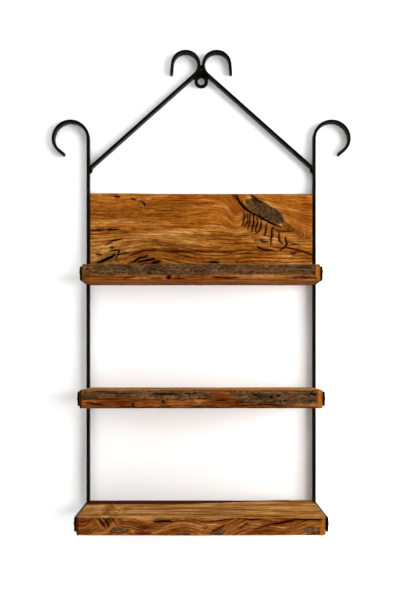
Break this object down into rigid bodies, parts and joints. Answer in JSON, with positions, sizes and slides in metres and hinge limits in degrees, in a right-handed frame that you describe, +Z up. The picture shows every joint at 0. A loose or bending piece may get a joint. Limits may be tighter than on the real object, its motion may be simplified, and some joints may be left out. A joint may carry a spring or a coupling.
{
  "type": "wall shelf with brackets",
  "caption": "Hanging wall shelf: rustic wood planks and a back board held in a black forged flat-iron frame with scrolled hooks and a hanging ring.",
  "frame": {"origin": "centre of the hanging ring's hole, on the wall plane behind the frame", "axes": "+X to the shelf's right as seen from the room, +Y into the wall, +Z up"},
  "size_m": [0.5606, 0.174, 0.877],
  "materials": {
    "panel_wood": "oiled honey-brown old board with an open cracked grain",
    "shelf_wood": "weathered grey-brown faces with fresh-cut orange chamfers, waxed",
    "black_iron": "blackened forged flat bar, waxed, slightly hammered",
    "weld_metal": "blackened weld bead",
    "screw_steel": "blackened steel screw"
  },
  "bodies": {
    "root": {"back_panel": "panel_wood", "top_shelf": "shelf_wood", "middle_shelf": "shelf_wood", "bottom_shelf": "shelf_wood", "hanging_ring": "black_iron", "apex_gusset_weld": "weld_metal", "scroll_tack_weld": "weld_metal", "left_upright": "black_iron", "left_brace": "black_iron", "left_brace_weld": "weld_metal", "left_top_arm": "black_iron", "left_top_arm_weld": "weld_metal", "left_top_front_screw": "screw_steel", "left_top_rear_screw": "screw_steel", "left_middle_arm": "black_iron", "left_middle_arm_weld": "weld_metal", "left_middle_front_screw": "screw_steel", "left_middle_rear_screw": "screw_steel", "left_bottom_arm": "black_iron", "left_bottom_arm_weld": "weld_metal", "left_bottom_front_screw": "screw_steel", "left_bottom_rear_screw": "screw_steel", "right_upright": "black_iron", "right_brace": "black_iron", "right_brace_weld": "weld_metal", "right_top_arm": "black_iron", "right_top_arm_weld": "weld_metal", "right_top_front_screw": "screw_steel", "right_top_rear_screw": "screw_steel", "right_middle_arm": "black_iron", "right_middle_arm_weld": "weld_metal", "right_middle_front_screw": "screw_steel", "right_middle_rear_screw": "screw_steel", "right_bottom_arm": "black_iron", "right_bottom_arm_weld": "weld_metal", "right_bottom_front_screw": "screw_steel", "right_bottom_rear_screw": "screw_steel", "panel_screw_1": "screw_steel", "panel_screw_2": "screw_steel", "panel_screw_3": "screw_steel"}
  },
  "joints": []
}
